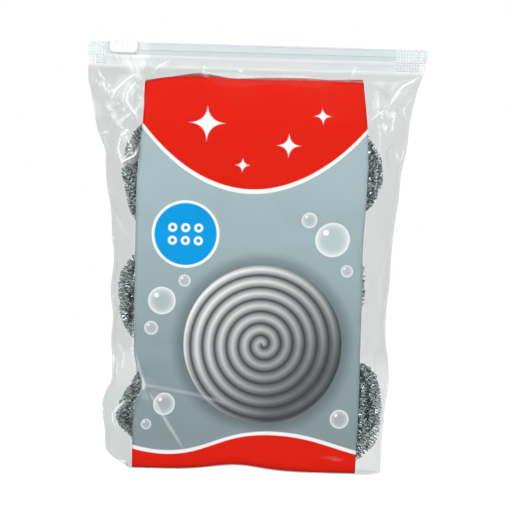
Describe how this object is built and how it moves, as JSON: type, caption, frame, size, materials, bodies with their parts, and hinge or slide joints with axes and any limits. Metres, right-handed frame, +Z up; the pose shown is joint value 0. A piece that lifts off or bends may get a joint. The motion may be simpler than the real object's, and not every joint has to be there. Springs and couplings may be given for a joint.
{
  "type": "pot scourer pack",
  "caption": "Clear slider-zip bag of curled stainless-steel pot scourers with a folded printed insert; the slider runs along the zip and the loose scourers shift sideways.",
  "frame": {"origin": "middle of the folded bottom that the pack stands on", "axes": "+X along the zip, away from the closed slider; +Y from the printed front to the back; +Z up, towards the zip"},
  "size_m": [0.2, 0.0318, 0.2516],
  "materials": {
    "clear_film": "clear glossy polyethylene film",
    "zip_plastic": "milky clear extruded polyethylene",
    "slider_plastic": "translucent white moulded plastic",
    "printed_sheet": "gloss-coated printed sheet",
    "scourer_steel": "bright curled stainless-steel ribbon"
  },
  "bodies": {
    "bag": {"bag_front_film": "clear_film", "bag_back_film": "clear_film", "bag_bottom_fold": "clear_film", "printed_insert": "printed_sheet", "zip_hook_strip": "zip_plastic", "zip_groove_strip": "zip_plastic", "zip_end_left": "zip_plastic", "zip_end_right": "zip_plastic"},
    "slider": {"zip_slider": "slider_plastic"},
    "scourer_bottom_left_body": {"scourer_bottom_left": "scourer_steel"},
    "scourer_bottom_right_body": {"scourer_bottom_right": "scourer_steel"},
    "scourer_middle_left_body": {"scourer_middle_left": "scourer_steel"},
    "scourer_middle_right_body": {"scourer_middle_right": "scourer_steel"},
    "scourer_top_left_body": {"scourer_top_left": "scourer_steel"},
    "scourer_top_right_body": {"scourer_top_right": "scourer_steel"}
  },
  "joints": [
    {"name": "slider_travel", "type": "slide", "parent": "bag", "child": "slider", "axis": [1, 0, 0], "range_m": [0, 0.15]},
    {"name": "bottom_left_shift", "type": "slide", "parent": "bag", "child": "scourer_bottom_left_body", "axis": [1, 0, 0], "range_m": [0, 0.007]},
    {"name": "bottom_right_shift", "type": "slide", "parent": "bag", "child": "scourer_bottom_right_body", "axis": [-1, 0, 0], "range_m": [0, 0.007]},
    {"name": "middle_left_shift", "type": "slide", "parent": "bag", "child": "scourer_middle_left_body", "axis": [1, 0, 0], "range_m": [0, 0.007]},
    {"name": "middle_right_shift", "type": "slide", "parent": "bag", "child": "scourer_middle_right_body", "axis": [1, 0, 0], "range_m": [0, 0.007]},
    {"name": "top_left_shift", "type": "slide", "parent": "bag", "child": "scourer_top_left_body", "axis": [1, 0, 0], "range_m": [0, 0.007]},
    {"name": "top_right_shift", "type": "slide", "parent": "bag", "child": "scourer_top_right_body", "axis": [-1, 0, 0], "range_m": [0, 0.007]}
  ]
}
